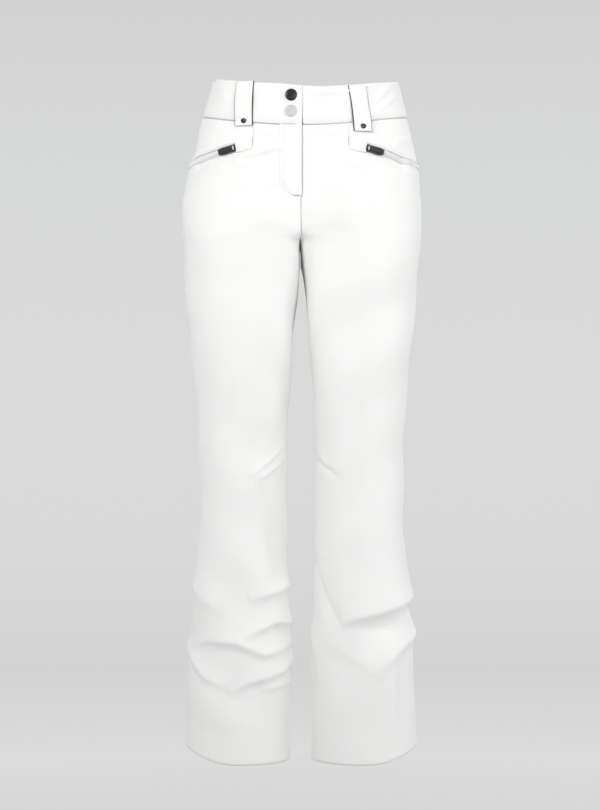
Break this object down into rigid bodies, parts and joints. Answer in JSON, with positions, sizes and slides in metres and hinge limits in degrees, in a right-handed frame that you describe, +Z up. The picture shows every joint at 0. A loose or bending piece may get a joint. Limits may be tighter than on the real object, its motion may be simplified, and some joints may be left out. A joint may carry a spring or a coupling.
{
  "type": "ski pants",
  "caption": "Slim flared ski pants in white softshell, with a snapped waistband over a zipped fly, belt loops, and sloping zipped hand pockets",
  "frame": {"origin": "the middle of the box round the pants, at the height of the hems", "axes": "+Z up toward the waist, -Y the front, -X the wearer's right"},
  "size_m": [0.3616, 0.24, 1.046],
  "materials": {
    "softshell_cloth": "matte woven softshell",
    "loop_cloth": "matte woven, dark backing at the edges",
    "lining_cloth": "plain woven lining",
    "zip_tape": "woven tape with moulded coil",
    "elastic": "ribbed elastic band",
    "black_snap": "black lacquer, satin",
    "pale_snap": "pale grey lacquer, satin",
    "nickel": "nickel plated",
    "puller_plastic": "moulded, matte"
  },
  "bodies": {
    "root": {"right_front_leg": "softshell_cloth", "left_front_leg": "softshell_cloth", "right_back_leg": "softshell_cloth", "left_back_leg": "softshell_cloth", "right_front_yoke": "softshell_cloth", "left_front_yoke": "softshell_cloth", "right_back_yoke": "softshell_cloth", "left_back_yoke": "softshell_cloth", "waistband_right": "softshell_cloth", "waistband_left": "softshell_cloth", "waistband_back": "softshell_cloth", "waistband_underlap": "softshell_cloth", "right_pocket_garage": "softshell_cloth", "left_pocket_garage": "softshell_cloth", "right_hem_facing": "softshell_cloth", "left_hem_facing": "softshell_cloth", "belt_loop_front_right": "loop_cloth", "belt_loop_front_left": "loop_cloth", "belt_loop_back_right": "loop_cloth", "belt_loop_back_left": "loop_cloth", "belt_loop_back_centre": "loop_cloth", "fly_shield": "lining_cloth", "right_pocket_bag": "lining_cloth", "left_pocket_bag": "lining_cloth", "right_gaiter": "lining_cloth", "left_gaiter": "lining_cloth", "fly_zip_tape_left": "zip_tape", "fly_zip_tape_right": "zip_tape", "fly_zip_teeth": "zip_tape", "right_pocket_zip_coil": "zip_tape", "right_pocket_zip_tape_upper": "zip_tape", "right_pocket_zip_tape_lower": "zip_tape", "left_pocket_zip_coil": "zip_tape", "left_pocket_zip_tape_upper": "zip_tape", "left_pocket_zip_tape_lower": "zip_tape", "right_gaiter_elastic": "elastic", "left_gaiter_elastic": "elastic", "belt_loop_front_right_rivet": "black_snap", "belt_loop_front_left_rivet": "black_snap", "belt_loop_back_right_rivet": "black_snap", "belt_loop_back_left_rivet": "black_snap", "belt_loop_back_centre_rivet": "black_snap", "snap_stud_upper": "nickel", "snap_stud_lower": "nickel", "snap_back_upper": "nickel", "snap_back_lower": "nickel", "fly_zip_bottom_stop": "nickel"},
    "front_flap": {"fly_flap": "softshell_cloth", "waistband_overlap": "softshell_cloth", "snap_cap_upper": "black_snap", "snap_cap_lower": "pale_snap", "snap_socket_upper": "nickel", "snap_socket_lower": "nickel"},
    "fly_slider": {"fly_zip_slider": "nickel"},
    "fly_puller": {"fly_zip_puller": "nickel"},
    "right_slider": {"right_pocket_slider": "pale_snap"},
    "right_puller": {"right_pocket_puller": "puller_plastic"},
    "left_slider": {"left_pocket_slider": "pale_snap"},
    "left_puller": {"left_pocket_puller": "puller_plastic"}
  },
  "joints": [
    {"name": "front_flap_fold", "type": "hinge", "parent": "root", "child": "front_flap", "pos_m": [-0.003, -0.11819, 0.858], "axis": [0.2163, -0.0106, -0.9763], "range_deg": [0, 110]},
    {"name": "fly_zip_slide", "type": "slide", "parent": "root", "child": "fly_slider", "axis": [0, 0, -1], "range_m": [0, 0.062]},
    {"name": "fly_puller_swing", "type": "hinge", "parent": "fly_slider", "child": "fly_puller", "pos_m": [-0.012, -0.10875, 0.9465], "axis": [-1, 0, 0], "range_deg": [0, 9]},
    {"name": "right_pocket_zip_slide", "type": "hinge", "parent": "root", "child": "right_slider", "pos_m": [-0.05846, 0.0222, 0.9352], "axis": [0.2588, 0, -0.9659], "range_deg": [0, 26.5]},
    {"name": "right_pocket_puller_swing", "type": "hinge", "parent": "right_slider", "child": "right_puller", "pos_m": [-0.10141, -0.10186, 0.92369], "axis": [-0.2588, 0, 0.9659], "range_deg": [0, 150]},
    {"name": "left_pocket_zip_slide", "type": "hinge", "parent": "root", "child": "left_slider", "pos_m": [0.05846, 0.0222, 0.9352], "axis": [0.2588, 0, 0.9659], "range_deg": [0, 26.5]},
    {"name": "left_pocket_puller_swing", "type": "hinge", "parent": "left_slider", "child": "left_puller", "pos_m": [0.10141, -0.10186, 0.92369], "axis": [-0.2588, 0, -0.9659], "range_deg": [0, 150]}
  ]
}
